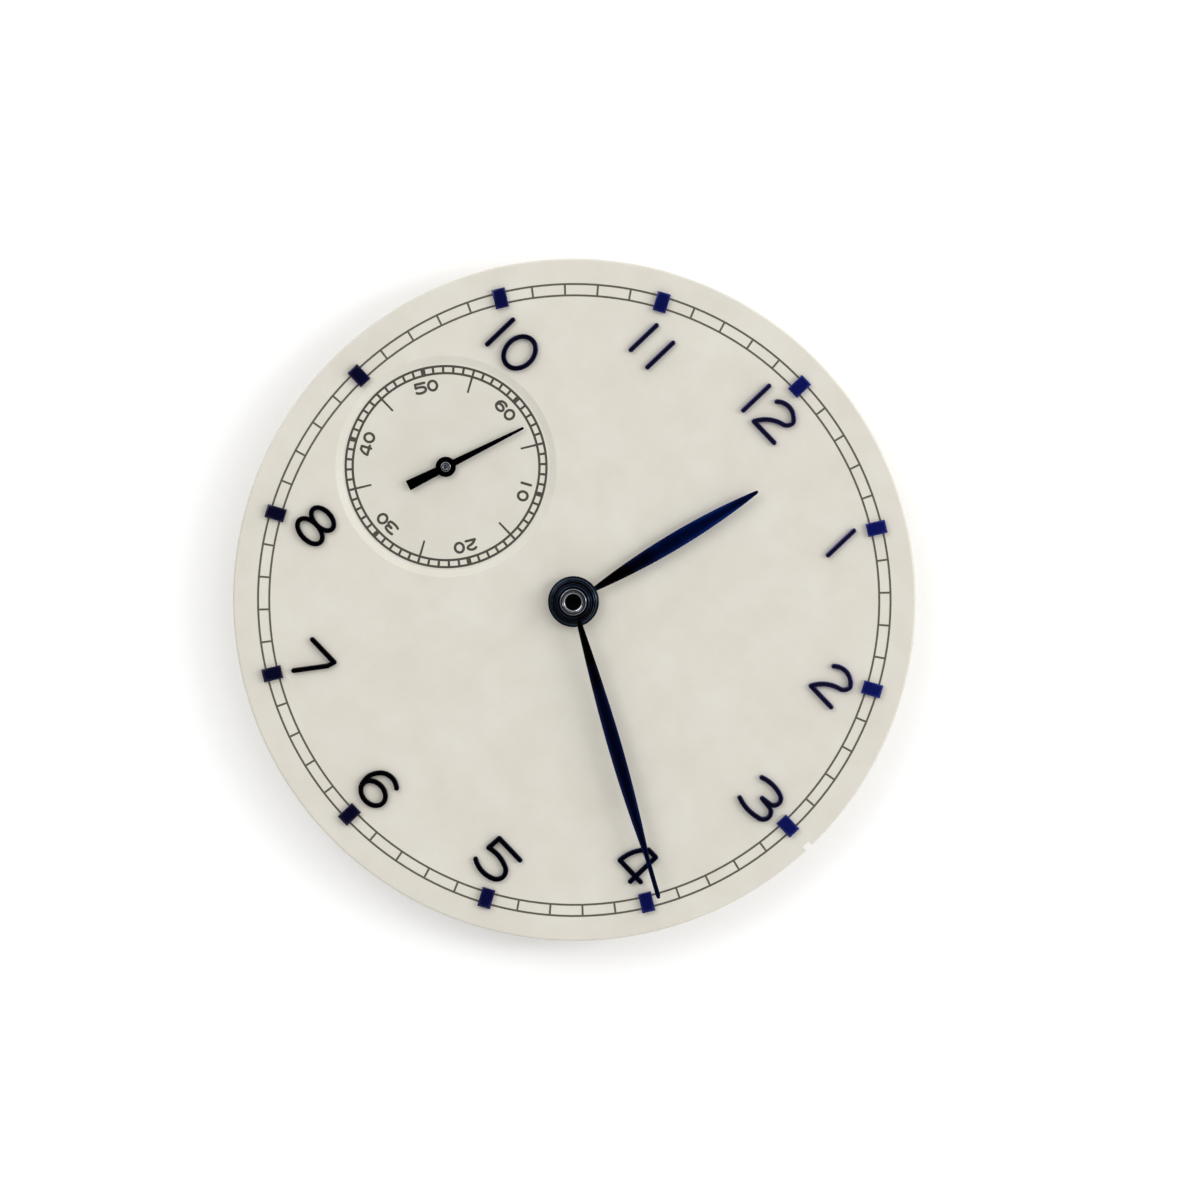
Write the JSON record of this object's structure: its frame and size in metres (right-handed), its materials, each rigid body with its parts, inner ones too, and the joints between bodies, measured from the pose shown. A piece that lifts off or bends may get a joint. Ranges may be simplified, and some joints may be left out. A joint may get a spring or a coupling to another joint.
{
  "type": "watch dial with hands",
  "caption": "Round cream watch dial with applied blued numerals, leaf hands and a small seconds dial, carried on its main plate with the motion works.",
  "frame": {"origin": "centre of the main plate's flat underside, on the axis of the hour and minute hands", "axes": "+Z out of the dial face, +Y towards 12 o'clock, +X towards 3 o'clock"},
  "size_m": [0.0388, 0.0388, 0.0043],
  "materials": {
    "plated_brass": "nickel-plated brass with overlapping circular graining",
    "dial_enamel": "satin cream lacquer over brass",
    "dial_ink": "thin matt transfer-printed ink",
    "copper": "plain drawn copper",
    "polished_steel": "polished steel",
    "grained_steel": "straight-grained steel",
    "gilt_brass": "gilt brass, fine turned grain",
    "bronze": "rolled bronze foil",
    "ruby": "polished synthetic ruby",
    "blued_steel": "polished heat-blued steel"
  },
  "bodies": {
    "movement_plate": {"centre_bush": "gilt_brass", "dial_feet": "copper", "dial_foot_screws": "polished_steel", "dial_plate": "dial_enamel", "hour_marker_01": "blued_steel", "hour_marker_02": "blued_steel", "hour_marker_03": "blued_steel", "hour_marker_04": "blued_steel", "hour_marker_05": "blued_steel", "hour_marker_06": "blued_steel", "hour_marker_07": "blued_steel", "hour_marker_08": "blued_steel", "hour_marker_09": "blued_steel", "hour_marker_10": "blued_steel", "hour_marker_11": "blued_steel", "hour_marker_12": "blued_steel", "main_plate": "plated_brass", "minute_bridge_screws": "polished_steel", "minute_track_print": "dial_ink", "minute_wheel_bridge": "grained_steel", "minute_wheel_post": "polished_steel", "numeral_1": "blued_steel", "numeral_10": "blued_steel", "numeral_11": "blued_steel", "numeral_12": "blued_steel", "numeral_2": "blued_steel", "numeral_3": "blued_steel", "numeral_4": "blued_steel", "numeral_5": "blued_steel", "numeral_6": "blued_steel", "numeral_7": "blued_steel", "numeral_8": "blued_steel", "seconds_jewel": "ruby", "seconds_track_print": "dial_ink", "train_jewels": "ruby"},
    "minute_arbor": {"centre_arbor": "polished_steel", "cannon_pinion": "polished_steel", "minute_hand": "blued_steel", "minute_hand_bush": "polished_steel"},
    "hour_pipe": {"hour_wheel": "gilt_brass", "dial_washer": "bronze", "hour_hand": "blued_steel", "hour_hand_bush": "blued_steel"},
    "minute_wheel_set": {"minute_wheel": "gilt_brass", "minute_pinion": "polished_steel"},
    "seconds_arbor_set": {"seconds_arbor": "polished_steel", "seconds_hand": "blued_steel", "seconds_hand_pipe": "polished_steel"}
  },
  "joints": [
    {"name": "minute_spin", "type": "hinge", "parent": "movement_plate", "child": "minute_arbor", "pos_m": [0, 0, 0.0026], "axis": [0, 0, -1], "continuous": true},
    {"name": "hour_spin", "type": "hinge", "parent": "movement_plate", "child": "hour_pipe", "pos_m": [0, 0, 0.0026], "axis": [0, 0, -1], "continuous": true},
    {"name": "minute_wheel_spin", "type": "hinge", "parent": "movement_plate", "child": "minute_wheel_set", "pos_m": [0.00408, 0, 0.0026], "axis": [0, 0, -1], "continuous": true},
    {"name": "seconds_spin", "type": "hinge", "parent": "movement_plate", "child": "seconds_arbor_set", "pos_m": [-0.01055, 0, 0.0026], "axis": [0, 0, -1], "continuous": true}
  ],
  "couplings": [
    {"joint": "hour_spin", "follows": "minute_spin", "ratio": 0.083333},
    {"joint": "minute_wheel_spin", "follows": "minute_spin", "ratio": -0.33333}
  ]
}
